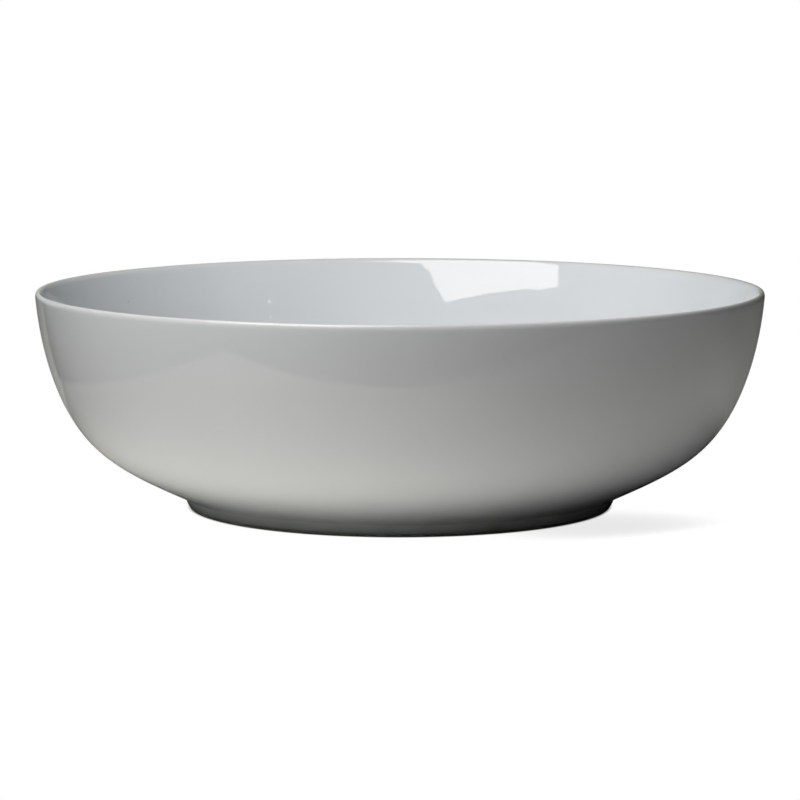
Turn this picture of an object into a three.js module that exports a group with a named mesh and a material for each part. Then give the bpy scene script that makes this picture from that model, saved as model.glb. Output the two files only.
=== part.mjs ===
// A round porcelain serving bowl on a turned foot ring, glazed all over but for the edge that it stands on.
// Millimetres, +Z up. The origin is the centre of the circle that the foot rests on.
import * as THREE from "three";

// Overall sizes, over the glaze
const rimRadius = 146;
const bowlHeight = 87.7;

// Glaze: one even coat, wiped off the foot up to a line just above the table
const glazeThickness = 0.3;
const wipedHeight = 1.2;

// Foot ring: a turned ring whose sides draw in towards the table, with rounded edges
const footTopRadius = 87;
const footHeight = 5.2;
const footWidth = 6.5;
const footOuterDraft = 2.2;
const footInnerDraft = 1.6;
const footEdgeRound = 0.8;

// Outer wall: it leaves the foot as a low flare, bends at the shoulder and rises to a nearly upright rim
const flareAngle = THREE.MathUtils.degToRad(25);
const flareReach = 37;
const shoulderInset = 19;
const shoulderRise = 19.1;
const rimLean = THREE.MathUtils.degToRad(5.1);
const rimReach = 39;

// Lip: the rounded crown of the wall
const lipThickness = 3.2;
const lipCrown = 2.3;

// Inside: an even wall that thins over its last stretch below the lip, and a shallow dish for a floor
const wallThickness = 5.8;
const lipTaper = 0.15;
const heelStart = 0.12;
const floorThickness = 5;
const floorReach = 52;
const heelReach = 13;

// Facets
const turnSteps = 64;
const wallSteps = 10;
const lipSteps = 6;
const floorSteps = 4;
const edgeSteps = 3;

const porcelain = new THREE.MeshStandardMaterial({ color: 0xe6e3dc, roughness: 0.85, metalness: 0 });
const glaze = new THREE.MeshStandardMaterial({ color: 0xd9dcdc, roughness: 0.12, metalness: 0 });

const point = (radius, height) => new THREE.Vector2(radius, height);

// A step along a direction given by its slope angle above the horizontal
const along = (start, angle, length) =>
  point(start.x + length * Math.cos(angle), start.y + length * Math.sin(angle));

// The lip's crown is half an ellipse that leans with the wall. Its centre puts the glazed top and
// the glazed outer edge exactly at the overall height and radius.
function lipEllipse() {
  const half = lipThickness / 2;
  const reachOut = Math.hypot(half * Math.cos(rimLean), lipCrown * Math.sin(rimLean));
  const reachUp = Math.hypot(half * Math.sin(rimLean), lipCrown * Math.cos(rimLean));
  const radius = rimRadius - glazeThickness - reachOut;
  const height = bowlHeight - glazeThickness - reachUp;
  return new THREE.EllipseCurve(radius, height, half, lipCrown, 0, Math.PI, false, -rimLean);
}

// A curve that is pulled towards any number of corners and ends on the first and the last of them.
// A point of it is found by repeated interpolation between neighbouring corners.
class PulledCurve extends THREE.Curve {
  constructor(...corners) {
    super();
    this.corners = corners;
  }

  getPoint(t) {
    let points = this.corners;
    while (points.length > 1) {
      const starts = points;
      points = starts.slice(1).map((end, i) => starts[i].clone().lerp(end, t));
    }
    return points[0];
  }
}

// The outer wall runs from the foot past the shoulder to the lip, tangent to the lip's side
function outerWall() {
  const wallAngle = Math.PI / 2 - rimLean;
  const foot = point(footTopRadius, footHeight);
  const flareEnd = along(foot, flareAngle, flareReach);
  const shoulder = point(rimRadius - shoulderInset, footHeight + shoulderRise);
  const lip = lipEllipse().getPoint(0);
  const rimStart = along(lip, wallAngle, -rimReach);
  return new PulledCurve(foot, flareEnd, shoulder, rimStart, lip);
}

// The inner wall is the outer one moved in by the wall's thickness
function innerWallPoint(wall, t) {
  const taper = Math.max(0, 1 - (1 - t) / lipTaper) ** 2;
  const thickness = wallThickness - (wallThickness - lipThickness) * taper;
  const outer = wall.getPoint(t);
  const travel = wall.getTangent(t);
  return point(outer.x - travel.y * thickness, outer.y + travel.x * thickness);
}

// The floor is a dish, level at the axis and tangent to the inner wall at the heel
function floorCurve(wall) {
  const heel = innerWallPoint(wall, heelStart);
  const beyond = innerWallPoint(wall, heelStart + 0.01);
  const rise = Math.atan2(beyond.y - heel.y, beyond.x - heel.x);
  const centre = point(0, footHeight + floorThickness);
  return new PulledCurve(heel, along(heel, rise, -heelReach), along(centre, 0, floorReach), centre);
}

// Everything of the body that shows, from the foot over the lip and down to the middle of the floor
function bodySkin() {
  const wall = outerWall();
  const outside = wall.getPoints(wallSteps);
  const lip = lipEllipse().getPoints(lipSteps).slice(1);
  const inside = [];
  for (let i = 1; i < wallSteps; i++) {
    inside.push(innerWallPoint(wall, 1 - (i / wallSteps) * (1 - heelStart)));
  }
  return [...outside, ...lip, ...inside, ...floorCurve(wall).getPoints(floorSteps)];
}

// The foot's outer and inner side at any height
function footSide(height) {
  const share = height / footHeight;
  const outerBase = footTopRadius - footOuterDraft;
  return {
    outer: outerBase + footOuterDraft * share,
    inner: outerBase - footWidth - footInnerDraft * share,
  };
}

// A path moved sideways by an even distance, to the right of its travel, with mitred corners.
// An end on the axis stays on it.
function offsetPath(path, distance) {
  return path.map((corner, i) => {
    const arriving = corner.clone().sub(path[i - 1] ?? corner).normalize();
    const leaving = (path[i + 1] ?? corner).clone().sub(corner).normalize();
    const travel = arriving.add(leaving).normalize();
    const other = i ? path[i - 1] : path[i + 1];
    const leg = corner.clone().sub(other).normalize();
    const mitre = Math.abs(leg.dot(travel));
    const moved = point(corner.x + (travel.y * distance) / mitre, corner.y - (travel.x * distance) / mitre);
    if (corner.x === 0) moved.set(0, corner.y - Math.sign(travel.x) * distance);
    return moved;
  });
}

// A named solid of revolution about Z. The profile has the solid on the left of its travel.
function turned(name, profile, material) {
  const geometry = new THREE.LatheGeometry(profile, turnSteps).rotateX(Math.PI / 2);
  const mesh = new THREE.Mesh(geometry, material);
  mesh.name = name;
  return mesh;
}

function bowlBody() {
  return turned("bowl_body", [point(0, footHeight), ...bodySkin()], porcelain);
}

// The ring is luted to the flat underside of the body, and its edge is rounded where it meets the table
function footRing() {
  const edge = footSide(footEdgeRound);
  const wiped = footSide(wipedHeight);
  const top = footSide(footHeight);
  const rounding = (radius, side) => {
    const points = [];
    for (let i = 0; i <= edgeSteps; i++) {
      const turn = (i / edgeSteps) * (Math.PI / 2);
      const setBack = side * footEdgeRound * (1 - Math.sin(turn));
      points.push(point(radius - setBack, footEdgeRound * (1 - Math.cos(turn))));
    }
    return points;
  };
  const profile = [
    point(wiped.inner, wipedHeight),
    ...rounding(edge.inner, -1).reverse(),
    ...rounding(edge.outer, 1),
    point(wiped.outer, wipedHeight),
    point(top.outer, footHeight),
    point(top.inner, footHeight),
    point(wiped.inner, wipedHeight),
  ];
  return turned("foot_ring", profile, porcelain);
}

// A coat follows the surface under it in the same direction, so that both split their shared faces
// along the same lines. Its profile thus has the solid on the right, and its faces are turned about.
function coat(name, profile) {
  const mesh = turned(name, profile, glaze);
  const corners = mesh.geometry.index;
  for (let i = 0; i < corners.count; i += 3) {
    const first = corners.getX(i);
    corners.setX(i, corners.getX(i + 1));
    corners.setX(i + 1, first);
  }
  mesh.geometry.computeVertexNormals();
  return mesh;
}

// The coat runs from the wiped line up the foot and the wall, over the lip and across the floor
function glazeCoat() {
  const contact = [point(footSide(wipedHeight).outer, wipedHeight), ...bodySkin()];
  const surface = offsetPath(contact, glazeThickness).reverse();
  return coat("glaze_coat", [...surface, ...contact]);
}

// A second, separate coat lines the hollow inside the foot
function recessGlaze() {
  const contact = [
    point(0, footHeight),
    point(footSide(footHeight).inner, footHeight),
    point(footSide(wipedHeight).inner, wipedHeight),
  ];
  const surface = offsetPath(contact, glazeThickness).reverse();
  return coat("recess_glaze", [...contact, ...surface]);
}

const servingBowl = new THREE.Group();
servingBowl.add(bowlBody(), footRing(), glazeCoat(), recessGlaze());

export default servingBowl;
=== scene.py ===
import math

import bpy
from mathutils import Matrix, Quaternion, Vector


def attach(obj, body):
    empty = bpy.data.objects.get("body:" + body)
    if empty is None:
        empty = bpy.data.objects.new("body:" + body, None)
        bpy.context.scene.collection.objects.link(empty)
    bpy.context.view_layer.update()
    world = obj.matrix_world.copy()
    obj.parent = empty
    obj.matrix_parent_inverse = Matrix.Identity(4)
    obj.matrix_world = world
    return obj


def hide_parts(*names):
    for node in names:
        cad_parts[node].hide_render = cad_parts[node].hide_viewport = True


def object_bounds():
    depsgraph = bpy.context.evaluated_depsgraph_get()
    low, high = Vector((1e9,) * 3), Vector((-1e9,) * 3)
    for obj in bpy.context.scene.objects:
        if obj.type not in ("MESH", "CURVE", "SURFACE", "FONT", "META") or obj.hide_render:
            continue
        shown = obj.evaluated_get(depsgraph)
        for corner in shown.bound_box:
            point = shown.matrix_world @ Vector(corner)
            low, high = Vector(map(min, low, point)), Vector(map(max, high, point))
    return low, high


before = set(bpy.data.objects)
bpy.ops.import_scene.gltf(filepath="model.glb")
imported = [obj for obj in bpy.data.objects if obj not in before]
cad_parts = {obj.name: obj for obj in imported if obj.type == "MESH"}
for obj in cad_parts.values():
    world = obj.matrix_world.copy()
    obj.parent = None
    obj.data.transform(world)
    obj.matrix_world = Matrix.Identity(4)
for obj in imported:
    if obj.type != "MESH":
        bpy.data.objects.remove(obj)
cadLow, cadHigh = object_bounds()
print("frame loaded")

# Every profile is drawn as (distance from the axis, height), in millimetres
clearance = 0.02  # the bowl stays this far inside the CAD model's box

bowlSizes = {
    "rimRadius": cadHigh.x * 1000 - clearance,
    "height": cadHigh.z * 1000 - clearance,
    "turnSteps": 256,
    "creaseAngle": math.radians(40),
}

glazeSizes = {
    "thickness": 0.3,
    "wipedHeight": 1.2,  # the foot is bare below this
    "beadReach": 0.9,  # the glaze swells to its full thickness over this length
    "beadShares": [0, 0.02, 0.08, 0.18, 0.32, 0.5, 0.72, 1],
    "pool": 1.6,  # radius of the glaze gathered where the wall meets the foot
    "recessPool": 1.2,
    "poolSteps": 8,
}

footSizes = {
    "topRadius": 87,
    "height": 5.2,
    "width": 6.5,
    "outerDraft": 2.2,
    "innerDraft": 1.6,
    "edgeRound": 0.8,
    "edgeSteps": 8,
    "roofSteps": 12,
}

wallSizes = {
    "flareAngle": math.radians(25),
    "flareReach": 37,
    "shoulderInset": 19,
    "shoulderRise": 19.1,
    "rimAngle": math.radians(90 - 5.1),
    "rimReach": 39,
    "thickness": 5.8,
    "taper": 0.15,  # the share of the wall, below the lip, over which it thins
    "heelStart": 0.12,  # the inner wall begins this share of the way up, where the floor ends
    "steps": 40,
}

lipSizes = {
    "thickness": 2.6,
    "crown": 2.43,
    "bulge": 0.02,  # the lip swells this far past the wall's end
    "pull": 3.18,
    "approach": 0.005,  # the share of the inner wall that the lip lines up with
    "steps": 20,
}

floorSizes = {
    "thickness": 5,
    "reach": 52,
    "heelReach": 13,
    "approach": 0.01,
    "steps": 20,
}


def along(start, angle, length):
    return start + Vector((math.cos(angle), math.sin(angle))) * length


# A point of a curve pulled towards its corners, and the way the curve travels there
def pulledPoint(corners, t):
    points = list(corners)
    while len(points) > 1:
        points = [a.lerp(b, t) for a, b in zip(points, points[1:])]
    return points[0]


def pulledTravel(corners, t):
    return pulledPoint([b - a for a, b in zip(corners, corners[1:])], t).normalized()


# Where the outer wall ends and the lip begins
def wallEnd():
    radius = bowlSizes["rimRadius"] - glazeSizes["thickness"] - lipSizes["bulge"]
    return Vector((radius, bowlSizes["height"] - glazeSizes["thickness"] - lipSizes["crown"]))


# The outer wall: a low flare off the foot, a shoulder, and a nearly upright rim
def wallCorners():
    foot = Vector((footSizes["topRadius"], footSizes["height"]))
    flareEnd = along(foot, wallSizes["flareAngle"], wallSizes["flareReach"])
    shoulderRadius = bowlSizes["rimRadius"] - wallSizes["shoulderInset"]
    shoulder = Vector((shoulderRadius, footSizes["height"] + wallSizes["shoulderRise"]))
    lip = wallEnd()
    return [foot, flareEnd, shoulder, along(lip, wallSizes["rimAngle"], -wallSizes["rimReach"]), lip]


# The inner wall is the outer one moved in by the wall's thickness
def innerWallPoint(t):
    corners = wallCorners()
    taper = max(0, 1 - (1 - t) / wallSizes["taper"]) ** 2
    thickness = wallSizes["thickness"] - (wallSizes["thickness"] - lipSizes["thickness"]) * taper
    travel = pulledTravel(corners, t)
    return pulledPoint(corners, t) + Vector((-travel.y, travel.x)) * thickness


def innerWallTravel(start, end):
    return (innerWallPoint(end) - innerWallPoint(start)).normalized()


# The lip runs on from the outer wall, over the top, and meets the inner wall without a corner
def lipCorners():
    outer, inner, pull = wallEnd(), innerWallPoint(1), lipSizes["pull"]
    rise = innerWallTravel(1 - lipSizes["approach"], 1)
    return [outer, along(outer, wallSizes["rimAngle"], pull), inner + rise * pull, inner]


# The floor is a dish, level at the axis and in line with the inner wall at the heel
def floorCorners():
    heelStart = wallSizes["heelStart"]
    heel = innerWallPoint(heelStart)
    centre = Vector((0, footSizes["height"] + floorSizes["thickness"]))
    rise = innerWallTravel(heelStart, heelStart + floorSizes["approach"])
    return [heel, heel - rise * floorSizes["heelReach"], along(centre, 0, floorSizes["reach"]), centre]


# All of the clay that shows, from the foot over the lip and down to the middle of the floor
def bodySkin():
    wallSteps, lipSteps, floorSteps = wallSizes["steps"], lipSizes["steps"], floorSizes["steps"]
    outside = [pulledPoint(wallCorners(), i / wallSteps) for i in range(wallSteps + 1)]
    lip = [pulledPoint(lipCorners(), i / lipSteps) for i in range(1, lipSteps + 1)]
    inside = [innerWallPoint(1 - i / wallSteps * (1 - wallSizes["heelStart"])) for i in range(1, wallSteps)]
    floor = [pulledPoint(floorCorners(), i / floorSteps) for i in range(floorSteps + 1)]
    return outside + lip + inside + floor


# The foot's outer and inner side at a height
def footSide(height):
    share = height / footSizes["height"]
    outerBase = footSizes["topRadius"] - footSizes["outerDraft"]
    outer = outerBase + footSizes["outerDraft"] * share
    inner = outerBase - footSizes["width"] - footSizes["innerDraft"] * share
    return Vector((outer, height)), Vector((inner, height))


# Moves a path to the right of its travel, by a distance that depends on the way gone from its start
def offsetPath(path, distanceAt):
    moved, gone = [], 0
    for i, corner in enumerate(path):
        before = path[i - 1] if i else None
        after = path[i + 1] if i + 1 < len(path) else None
        gone += (corner - before).length if before else 0
        arriving = (corner - before).normalized() if before else Vector((0, 0))
        leaving = (after - corner).normalized() if after else Vector((0, 0))
        travel = (arriving + leaving).normalized()
        mitre = abs((arriving if before else leaving).dot(travel))
        step = Vector((travel.y, -travel.x)) * (distanceAt(gone) / mitre)
        if corner.x == 0:
            step = Vector((0, -math.copysign(distanceAt(gone), travel.x)))
        moved.append(corner + step)
    return moved


# The same path with the corner at an index worn to an arc
def roundedCorner(path, index, radius):
    before, corner, after = path[index - 1], path[index], path[index + 1]
    back, ahead = (before - corner).normalized(), (after - corner).normalized()
    halfAngle = math.acos(max(-1, min(1, back.dot(ahead)))) / 2
    reach = radius / math.tan(halfAngle)
    centre = corner + (back + ahead).normalized() * (radius / math.sin(halfAngle))
    start, end = corner + back * reach - centre, corner + ahead * reach - centre
    shares = [i / glazeSizes["poolSteps"] for i in range(glazeSizes["poolSteps"] + 1)]
    arc = [centre + (start * (1 - share) + end * share).normalized() * radius for share in shares]
    return path[:index] + arc + path[index + 1 :]


# The glaze's thickness near the wiped line, where its edge is a rounded bead
def bead(gone):
    left = min(1, max(0, 1 - gone / glazeSizes["beadReach"]))
    return glazeSizes["thickness"] * math.sqrt(1 - left**2)


def beadPoints(start, after):
    length = (after - start).length
    return [start.lerp(after, share * glazeSizes["beadReach"] / length) for share in glazeSizes["beadShares"]]


def bodyProfile():
    return [Vector((0, footSizes["height"]))] + bodySkin()


def ringProfile():
    outerEdge, innerEdge = footSide(footSizes["edgeRound"])
    outerWiped, innerWiped = footSide(glazeSizes["wipedHeight"])
    outerTop, innerTop = footSide(footSizes["height"])

    def rounding(edge, side):
        points = []
        for i in range(footSizes["edgeSteps"] + 1):
            turn = i / footSizes["edgeSteps"] * math.pi / 2
            setBack = side * footSizes["edgeRound"] * (1 - math.sin(turn))
            points.append(Vector((edge.x - setBack, footSizes["edgeRound"] * (1 - math.cos(turn)))))
        return points

    inside, outside = rounding(innerEdge, -1), rounding(outerEdge, 1)
    return [innerWiped] + inside[::-1] + outside + [outerWiped, outerTop, innerTop]


# The coat runs from the wiped line up the foot and the wall, over the lip and across the floor
def coatProfile():
    wiped = footSide(glazeSizes["wipedHeight"])[0]
    skin = bodySkin()
    start = beadPoints(wiped, skin[0])
    surface = roundedCorner(offsetPath(start + skin, bead), len(start), glazeSizes["pool"])
    return [*skin[::-1], wiped] + surface[1:]


# A second coat lines the hollow inside the foot
def recessProfile():
    wiped, corner = footSide(glazeSizes["wipedHeight"])[1], footSide(footSizes["height"])[1]
    roofSteps = footSizes["roofSteps"]
    roof = [Vector((corner.x * i / roofSteps, footSizes["height"])) for i in range(roofSteps)]
    side = beadPoints(wiped, corner)
    sideLength = (side[-1] - side[0]).length
    surface = offsetPath(side[::-1], lambda gone: bead(sideLength - gone))
    level = [point - Vector((0, glazeSizes["thickness"])) for point in roof]
    slope = (surface[0] - surface[1]).normalized()
    meeting = surface[0] + slope * ((level[0].y - surface[0].y) / slope.y)
    path = roundedCorner(level + [meeting] + surface[:-1], len(level), glazeSizes["recessPool"])
    return path + [wiped, corner] + roof[::-1]


# A closed solid of revolution. The profile has the solid on the left of its travel; one that does not
# start on the axis closes on itself.
def turned(name, profile):
    steps = bowlSizes["turnSteps"]
    vertices, rings, faces = [], [], []
    for point in profile:
        radius, height = point.x / 1000, point.y / 1000
        count = 1 if point.x == 0 else steps
        rings.append(range(len(vertices), len(vertices) + count))
        for i in range(count):
            angle = 2 * math.pi * i / steps
            vertices.append((radius * math.cos(angle), radius * math.sin(angle), height))
    onAxis = len(rings[0]) == 1
    for low, high in zip(rings, rings[1:] if onAxis else rings[1:] + rings[:1]):
        for i in range(steps):
            j = (i + 1) % steps
            if len(low) == 1:
                faces.append((low[0], high[j], high[i]))
            elif len(high) == 1:
                faces.append((low[i], low[j], high[0]))
            else:
                faces.append((low[i], low[j], high[j], high[i]))
    mesh = bpy.data.meshes.new(name)
    mesh.from_pydata(vertices, [], faces)
    mesh.polygons.foreach_set("use_smooth", [True] * len(mesh.polygons))
    mesh.set_sharp_from_angle(angle=bowlSizes["creaseAngle"])
    piece = bpy.data.objects.new(name, mesh)
    bpy.context.scene.collection.objects.link(piece)
    return piece


# Wraps a socket, so that shader maths is written as plain expressions
class Wire:
    def __init__(self, socket):
        self.socket = socket

    def math(self, operation, *values):
        tree = self.socket.id_data
        return Shading(tree).add("ShaderNodeMath", {"operation": operation}, dict(enumerate(values)))

    def root(self):
        return self.math("SQRT", self)

    def __add__(self, other):
        return self.math("ADD", self, other)

    def __radd__(self, other):
        return self.math("ADD", other, self)

    def __sub__(self, other):
        return self.math("SUBTRACT", self, other)

    def __rsub__(self, other):
        return self.math("SUBTRACT", other, self)

    def __mul__(self, other):
        return self.math("MULTIPLY", self, other)

    def __rmul__(self, other):
        return self.math("MULTIPLY", other, self)

    def __truediv__(self, other):
        return self.math("DIVIDE", self, other)

    def __rtruediv__(self, other):
        return self.math("DIVIDE", other, self)

    def __gt__(self, other):
        return self.math("GREATER_THAN", self, other)

    def __lt__(self, other):
        return self.math("LESS_THAN", self, other)


# Adds nodes to a material's or the world's tree
class Shading:
    def __init__(self, tree):
        self.tree = tree

    def add(self, kind, settings, inputs, output=0):
        node = self.tree.nodes.new(kind)
        for name, value in settings.items():
            setattr(node, name, value)
        for key, value in inputs.items():
            if isinstance(value, Wire):
                self.tree.links.new(value.socket, node.inputs[key])
            else:
                node.inputs[key].default_value = value
        return Wire(node.outputs[output]) if node.outputs else None

    def place(self):
        return self.add("ShaderNodeTexCoord", {}, {}, "Object")

    def part(self, vector, axis):
        return self.add("ShaderNodeSeparateXYZ", {}, {"Vector": vector}, axis)

    def vectorMath(self, operation, first, second):
        return self.add("ShaderNodeVectorMath", {"operation": operation}, {0: first, 1: second}, "Value")

    # A noise is given by its scale, detail and roughness
    def noise(self, place, look):
        sockets = dict(zip(("Scale", "Detail", "Roughness"), look))
        return self.add("ShaderNodeTexNoise", {}, sockets | {"Vector": place})

    # Rises smoothly from 0 to 1 between two values
    def ramp(self, value, limits):
        sockets = {"Value": value, "From Min": limits[0], "From Max": limits[1]}
        return self.add("ShaderNodeMapRange", {"interpolation_type": "SMOOTHSTEP"}, sockets)

    def clamp(self, value, highest=1):
        return self.add("ShaderNodeClamp", {}, {"Value": value, "Max": highest})

    def mix(self, factor, first, second):
        return self.add("ShaderNodeMix", {"data_type": "RGBA"}, {0: factor, 6: first, 7: second}, 2)

    def mixShaders(self, factor, first, second):
        return self.add("ShaderNodeMixShader", {}, {0: factor, 1: first, 2: second})

    def bump(self, height, depth, **sockets):
        return self.add("ShaderNodeBump", {}, {"Strength": 1, "Distance": depth, "Height": height} | sockets)

    def principled(self, sockets):
        return self.add("ShaderNodeBsdfPrincipled", {}, sockets)

    def finish(self, surface):
        self.add("ShaderNodeOutputMaterial", {}, {"Surface": surface})


def newMaterial(name):
    material = bpy.data.materials.new(name)
    material.use_nodes = True
    material.node_tree.nodes.clear()
    return material, Shading(material.node_tree)


# Glints, which are painted highlights, and pinholes are each given by their place, radius and strength
glazeLook = {
    "colour": (0.742, 0.776, 0.797, 1),
    "deepColour": (0.722, 0.756, 0.777, 1),
    "cloud": (14, 3, 0.5),
    "cloudLimits": (0.35, 0.7),
    "lipColour": (0.66, 0.65, 0.62, 1),
    "lipLimits": (0.0862, 0.088),
    "lipShare": 0.7,
    "speckColour": (0.36, 0.33, 0.29, 1),
    "speckScale": 75,
    "speckLimits": (0.05, 0.03),
    "speckShare": 0.7,
    "speckRarity": 0.68,
    "chance": (60, 0, 0.5),
    "glintPaint": (1, 1, 1, 1),
    "paintedGlints": [((-0.057, 0.1253, 0.0703), 0.0014, 0.9), ((-0.0565, 0.1236, 0.0638), 0.001, 0.5)],
    "pinholes": [((-0.1149, 0.0782, 0.0748), 0.001, 0.3)],
    "roughness": 0.02,
    "smear": (22, 4, 0.5),
    "smearRoughness": 0.03,
    "speckRoughness": 0.2,
    "index": 1.5,
    "wave": (34, 2, 0.65),
    "waveDepth": 0.00005,
    "innerWave": 4.5,  # the inside is this much wavier than the turned outside
    "peel": (900, 1, 0.5),
    "peelDepth": 0.000002,
}


def glazeMaterial(name, look, uneven):
    material, shading = newMaterial(name)
    place = shading.place()
    cloud = shading.ramp(shading.noise(place, look["cloud"]), look["cloudLimits"])
    colour = shading.mix(cloud, look["colour"], look["deepColour"])
    thin = shading.ramp(shading.part(place, "Z"), look["lipLimits"])
    colour = shading.mix(thin * look["lipShare"], colour, look["lipColour"])
    sockets = {"Vector": place, "Scale": look["speckScale"]}
    cells = shading.add("ShaderNodeTexVoronoi", {}, sockets, "Distance")
    chance = shading.noise(place, look["chance"])
    specks = shading.ramp(cells, look["speckLimits"]) * (chance > look["speckRarity"])
    colour = shading.mix(specks * look["speckShare"], colour, look["speckColour"])
    # The glints are painted highlights in the glaze's colour; the pinholes are dark specks
    for marks, markColour in ((look["paintedGlints"], look["glintPaint"]), (look["pinholes"], look["speckColour"])):
        for centre, radius, share in marks:
            mark = shading.ramp(shading.vectorMath("DISTANCE", place, centre), (radius, 0))
            colour = shading.mix(mark * share, colour, markColour)
    smear = shading.noise(place, look["smear"])
    roughness = look["roughness"] + look["smearRoughness"] * smear + look["speckRoughness"] * specks
    facing = shading.add("ShaderNodeTexCoord", {}, {}, "Normal")
    inside = shading.vectorMath("DOT_PRODUCT", place, facing) < 0
    wave = shading.noise(place, look["wave"]) * (1 + (look["innerWave"] - 1) * inside)
    normal = shading.bump(wave, look["waveDepth"] * uneven)
    normal = shading.bump(shading.noise(place, look["peel"]), look["peelDepth"], Normal=normal)
    sockets = {"Base Color": colour, "Roughness": roughness, "IOR": look["index"], "Normal": normal}
    shading.finish(shading.principled(sockets))
    return material


porcelainLook = {
    "colour": (0.78, 0.75, 0.70, 1),
    "grainColour": (0.66, 0.62, 0.56, 1),
    "grain": (1400, 4, 0.6),
    "grainLimits": (0.4, 0.75),
    "grainShare": 0.6,
    "grainDepth": 0.00003,
    "wearColour": (0.45, 0.43, 0.40, 1),
    "wearHeight": (0.0009, 0.0001),
    "wearLimits": (0.42, 0.62),
    "patches": (45, 5, 0.6),
    "roughness": 0.72,
    "patchRoughness": 0.15,
    "wearPolish": 0.1,
}


def porcelainMaterial(name, look, wear):
    material, shading = newMaterial(name)
    place = shading.place()
    grain = shading.noise(place, look["grain"])
    grainShare = shading.ramp(grain, look["grainLimits"]) * look["grainShare"]
    colour = shading.mix(grainShare, look["colour"], look["grainColour"])
    patches = shading.noise(place, look["patches"])
    low = shading.ramp(shading.part(place, "Z"), look["wearHeight"])
    worn = low * shading.ramp(patches, look["wearLimits"]) * wear
    colour = shading.mix(worn, colour, look["wearColour"])
    roughness = look["roughness"] + look["patchRoughness"] * patches - look["wearPolish"] * worn
    normal = shading.bump(grain, look["grainDepth"])
    shading.finish(shading.principled({"Base Color": colour, "Roughness": roughness, "Normal": normal}))
    return material


def addPiece(name, profile, material, node):
    piece = turned(name, profile)
    piece.data.materials.append(material)
    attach(piece, "root")
    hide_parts(node)


# How worn the bare clay is, and how uneven the glaze, is set for each piece
bodyClay = porcelainMaterial("porcelain", porcelainLook, 0)
footClay = porcelainMaterial("bare_foot", porcelainLook, 0.5)
bowlGlaze = glazeMaterial("glaze", glazeLook, 1)
recessGlaze = glazeMaterial("pooled_glaze", glazeLook, 3)
addPiece("thrown_body", bodyProfile(), bodyClay, "bowl_body")
addPiece("turned_foot", ringProfile(), footClay, "foot_ring")
addPiece("clear_coat", coatProfile(), bowlGlaze, "glaze_coat")
addPiece("recess_coat", recessProfile(), recessGlaze, "recess_glaze")
print("bowl built")


# 1 where the stage is seen: directly, mirrored or through glass
def seenDirectly(shading):
    rays = ("Is Camera Ray", "Is Glossy Ray", "Is Transmission Ray")
    camera, glossy, through = [shading.add("ShaderNodeLightPath", {}, {}, ray) for ray in rays]
    return shading.clamp(camera + glossy + through)


paperLook = {
    "colour": (0.9, 0.9, 0.9, 1),
    "white": (1, 1, 1, 1),
    "grain": (400, 3, 0.5),
    "grainDepth": 0.00002,
    "grainStrength": 0.1,
    "roughness": 0.9,
    "shadowLift": 0.8,  # how pale the bowl's shadow is
    "shadows": [((0.077, -0.056), (0.059, 0.047)), ((0.022, 0.125), (0.084, 0.13))],
    "shadowLimits": (1, -0.1),
    "contactLimits": (0.0862, 0.0845),
    "contactShare": 0.7,
}


# White paper under the bowl. Where it is seen its own light keeps it white, but for the bowl's shadow: a dark
# line close to the foot, and a pale one in two soft ovals, beside and behind the bowl. Each oval is given by its
# centre and its reach.
def paperMaterial(look):
    material, shading = newMaterial("paper")
    place = shading.place()
    grain = shading.noise(place, look["grain"])
    normal = shading.bump(grain, look["grainDepth"], Strength=look["grainStrength"])
    sockets = {"Base Color": look["colour"], "Roughness": look["roughness"], "Specular IOR Level": 0}
    paper = shading.principled(sockets | {"Normal": normal})
    lift = shading.add("ShaderNodeEmission", {}, {"Color": look["white"], "Strength": look["shadowLift"]})
    shaded = shading.add("ShaderNodeAddShader", {}, {0: paper, 1: lift})
    white = shading.add("ShaderNodeEmission", {}, {"Color": look["white"], "Strength": 1})
    across, ahead = shading.part(place, "X"), shading.part(place, "Y")
    ovals = []
    for centre, reach in look["shadows"]:
        shareX, shareY = (across - centre[0]) / reach[0], (ahead - centre[1]) / reach[1]
        ovals.append(shading.ramp(shareX * shareX + shareY * shareY, look["shadowLimits"]))
    seen = shading.mixShaders(ovals[0].math("MAXIMUM", *ovals), white, shaded)
    fromAxis = (across * across + ahead * ahead).root()
    contact = shading.ramp(fromAxis, look["contactLimits"]) * look["contactShare"]
    seen = shading.mixShaders(contact, seen, paper)
    shading.finish(shading.mixShaders(seenDirectly(shading), paper, seen))
    return material


tableLook = {
    "colour": (0.95, 0.94, 0.89, 1),
    "roughness": 0.9,
    "rightColour": (0.69, 0.685, 0.66, 1),
    "rightLimits": (-0.04, 0.1),
    "rightSlant": 0.2,
    "leftColour": (0.36, 0.355, 0.335, 1),
    "leftLimits": (0.05, 0.25),
    "leftSlant": 0.5,
    "leftEnd": 0.15,
    "shadeColour": (0.07, 0.07, 0.065, 1),
    "farLimits": (0.15, 0.23),
    "farShade": 0.06,
    "backLimits": (0.0, 0.2),
    "backShade": 0.46,
    "underShadowCentre": (0.019, 0.017),
    "underShadowLimits": (0.114, 0.091),
    "beyondColour": (0.04, 0.04, 0.04, 1),
    "leftEdge": -0.241,
    "backEdge": -0.135,
    "backEdgeTurn": 0.58,
    "frontEdge": -0.241,
    "frontEdgeTurn": 0.12,
    "frontTurnStart": 0.02,
    "frontTurnReach": 0.2,
}
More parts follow.
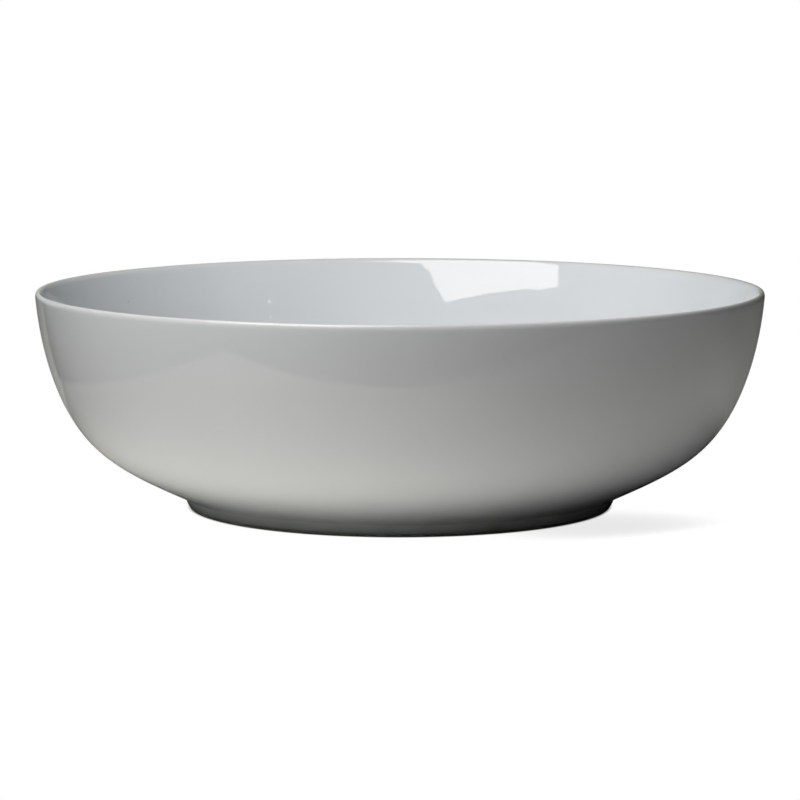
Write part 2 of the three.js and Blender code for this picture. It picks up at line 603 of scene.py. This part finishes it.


# The table that the bowl mirrors: pale in front and greyer to the right and at the left, with painted shade at
# the back and far off and a painted shadow dark under the bowl, ending at the left and in front in edges that
# show as the wavy line on the bowl's outside
def tableMaterial(look):
    material, shading = newMaterial("table")
    place = shading.place()
    across, ahead = shading.part(place, "X"), shading.part(place, "Y")
    right = shading.ramp(across + look["rightSlant"] * ahead, look["rightLimits"])
    colour = shading.mix(right, look["colour"], look["rightColour"])
    left = shading.ramp(look["leftSlant"] * ahead - across, look["leftLimits"]) * (ahead < look["leftEnd"])
    colour = shading.mix(left, colour, look["leftColour"])
    fromX, fromY = across - look["underShadowCentre"][0], ahead - look["underShadowCentre"][1]
    reach = (fromX * fromX + fromY * fromY).root()
    # Painted shade: the table darkens far from the bowl and towards the back
    far = shading.ramp(reach, look["farLimits"]) * look["farShade"]
    back = shading.ramp(ahead, look["backLimits"]) * look["backShade"]
    colour = shading.mix(far + back, colour, look["shadeColour"])
    # A painted shadow: the table is dark under the bowl
    colour = shading.mix(shading.ramp(reach, look["underShadowLimits"]), colour, look["shadeColour"])
    turn = shading.clamp(across - look["frontTurnStart"], look["frontTurnReach"])
    inFront = ahead < look["frontEdge"] - look["frontEdgeTurn"] * turn
    atLeft = (across < look["leftEdge"]) * (across + look["backEdgeTurn"] * ahead < look["backEdge"])
    colour = shading.mix(shading.clamp(atLeft + inFront), colour, look["beyondColour"])
    sockets = {"Base Color": colour, "Roughness": look["roughness"], "Specular IOR Level": 0}
    shading.finish(shading.principled(sockets))
    return material


roomLook = {
    "colour": (0.04, 0.04, 0.04, 1),
    "stainColour": (0.07, 0.07, 0.065, 1),
    "stain": (1.5, 2, 0.5),
    "stainShare": 0.3,
    "roughness": 0.9,
    "backGlow": (0.36, 0.36, 0.36, 1),
    "rightGlow": (0.05, 0.05, 0.05, 1),
    "noGlow": (0, 0, 0, 1),
    "glowAcross": (-0.4, 0.4),
    "glowBehind": (1.2, 1.7),
    "glowHeight": (0.8, 0.5),
    "radius": 2.4,
    "wallHeight": 2.2,
    "ceilingHeight": 2.4,
}


# The dark room around the table, with a grey glow low at the back
def roomMaterial(look):
    material, shading = newMaterial("room")
    place = shading.place()
    stain = shading.noise(place, look["stain"]) * look["stainShare"]
    colour = shading.mix(stain, look["colour"], look["stainColour"])
    side = shading.ramp(shading.part(place, "X"), look["glowAcross"])
    behind = shading.ramp(shading.part(place, "Y"), look["glowBehind"])
    low = shading.ramp(shading.part(place, "Z"), look["glowHeight"])
    glow = shading.mix(behind * low, look["noGlow"], shading.mix(side, look["backGlow"], look["rightGlow"]))
    sockets = {"Base Color": colour, "Roughness": look["roughness"], "Specular IOR Level": 0}
    shading.finish(shading.principled(sockets | {"Emission Color": glow, "Emission Strength": 1}))
    return material


sheetLook = {
    "holeRadius": 0.02,
    "reach": 6,
    "tableHeight": 0.0003,
    "wallFoot": 0.001,
    "sides": 60,
}


# A round sheet of stage through a few circles, each given by its radius and height
def addSheet(name, circles, material):
    sides = sheetLook["sides"]
    vertices, faces = [], []
    for radius, height in circles:
        for i in range(sides):
            turn = 2 * math.pi * i / sides
            vertices.append((radius * math.sin(turn), -radius * math.cos(turn), height))
    for ring in range(len(circles) - 1):
        for i in range(sides):
            a, b = ring * sides + i, ring * sides + (i + 1) % sides
            faces.append((a, b, b + sides, a + sides))
    mesh = bpy.data.meshes.new(name)
    mesh.from_pydata(vertices, [], faces)
    mesh.materials.append(material)
    sheet = bpy.data.objects.new(name, mesh)
    bpy.context.scene.collection.objects.link(sheet)
    return sheet


# The camera sees the paper; the table and the room only light the bowl and show in its glaze
def addStage():
    hole, reach, tableHeight = sheetLook["holeRadius"], sheetLook["reach"], sheetLook["tableHeight"]
    addSheet("paper", [(hole, 0), (reach, 0)], paperMaterial(paperLook))
    table = addSheet("table", [(hole, tableHeight), (reach, tableHeight)], tableMaterial(tableLook))
    radius, foot = roomLook["radius"], sheetLook["wallFoot"]
    walls = [(radius, foot), (radius, roomLook["wallHeight"]), (hole, roomLook["ceilingHeight"])]
    room = addSheet("room", walls, roomMaterial(roomLook))
    table.visible_camera = False
    table.visible_shadow = False
    room.visible_camera = False


worldLook = {
    "light": (0.02, 0.02, 0.02, 1),
    "background": (1, 1, 1, 1),
}


# White where it is seen, and nearly dark as a light
def setWorld(look):
    world = bpy.data.worlds.new("surroundings")
    bpy.context.scene.world = world
    world.use_nodes = True
    world.node_tree.nodes.clear()
    shading = Shading(world.node_tree)
    light = shading.add("ShaderNodeBackground", {}, {"Color": look["light"]})
    white = shading.add("ShaderNodeBackground", {}, {"Color": look["background"]})
    surface = shading.mixShaders(seenDirectly(shading), light, white)
    shading.add("ShaderNodeOutputWorld", {}, {"Surface": surface})


# The softbox at the front left, which also shows in the glaze at the back of the inside
softboxLook = {
    "place": (-0.336, -0.42, 0.843),
    "aim": (0, 0, 0.05),
    "width": 0.74,
    "height": 0.8,
    "roll": math.radians(-4.3),
    "radiance": 5.8,
    "colour": (1, 0.98, 0.965),
}


def addSoftbox(look):
    data = bpy.data.lights.new("softbox", "AREA")
    data.shape = "RECTANGLE"
    data.size, data.size_y = look["width"], look["height"]
    data.color = look["colour"]
    data.energy = look["radiance"] * math.pi * look["width"] * look["height"]
    lamp = bpy.data.objects.new("softbox", data)
    bpy.context.scene.collection.objects.link(lamp)
    lamp.location = look["place"]
    aim = Vector(look["aim"]) - lamp.location
    lamp.rotation_euler = (aim.to_track_quat("-Z", "Y") @ Quaternion((0, 0, 1), look["roll"])).to_euler()


cameraLook = {
    "distance": 1.48347,
    "elevation": math.radians(7.013),
    "aimHeight": 0.04245,
    "lens": 165.45,
    "sensor": 36,
}


def addCamera(look):
    data = bpy.data.cameras.new("camera")
    data.lens = look["lens"]
    data.sensor_width = look["sensor"]
    camera = bpy.data.objects.new("camera", data)
    bpy.context.scene.collection.objects.link(camera)
    way = Vector((0, -math.cos(look["elevation"]), math.sin(look["elevation"])))
    camera.location = Vector((0, 0, look["aimHeight"])) + way * look["distance"]
    camera.rotation_euler = (-way).to_track_quat("-Z", "Y").to_euler()
    bpy.context.scene.camera = camera


addStage()
setWorld(worldLook)
addSoftbox(softboxLook)
addCamera(cameraLook)
bpy.context.scene.view_settings.view_transform = "Standard"
print("stage set")
